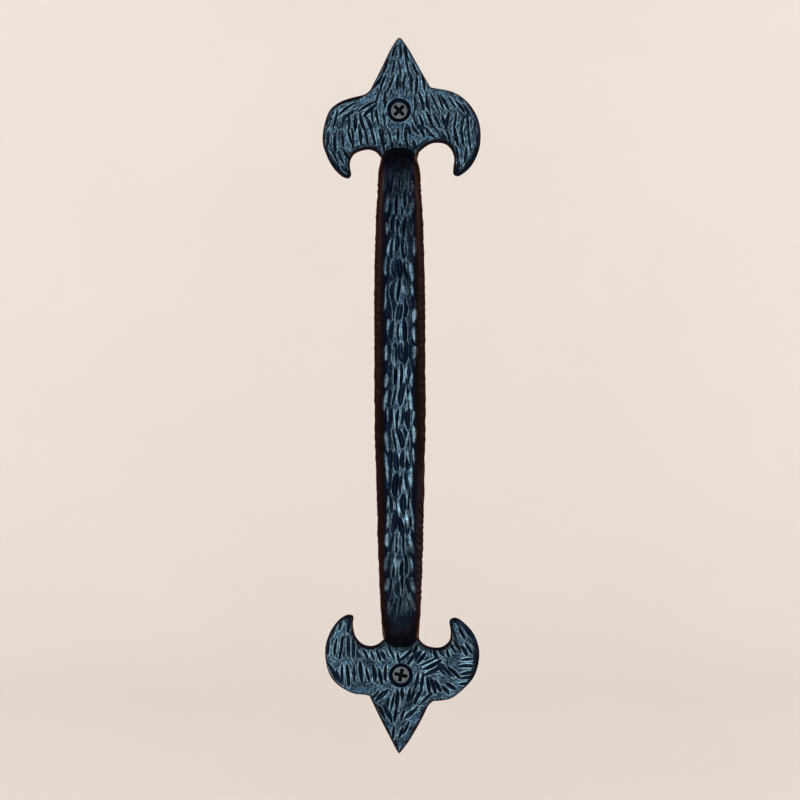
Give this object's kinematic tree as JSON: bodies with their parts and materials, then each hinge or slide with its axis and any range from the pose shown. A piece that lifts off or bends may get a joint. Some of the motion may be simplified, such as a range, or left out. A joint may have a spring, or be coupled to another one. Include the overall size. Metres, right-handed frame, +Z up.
{
  "type": "hammered pull handle",
  "caption": "Black hammered iron pull handle: a bowed grip riveted to two spade-and-hook end plates, fixed with countersunk wood screws.",
  "frame": {"origin": "on the mounting plane, midway between the two fixing screws", "axes": "+Z runs up the handle to the upper plate, +Y points into the door, and the grip bows out towards -Y"},
  "size_m": [0.0702, 0.0724, 0.3175],
  "materials": {
    "black_iron": "satin black paint over hammered iron",
    "screw_steel": "dull zinc-grey steel"
  },
  "bodies": {
    "root": {"grip": "black_iron", "upper_plate": "black_iron", "lower_plate": "black_iron", "upper_screw": "screw_steel", "lower_screw": "screw_steel"}
  },
  "joints": []
}
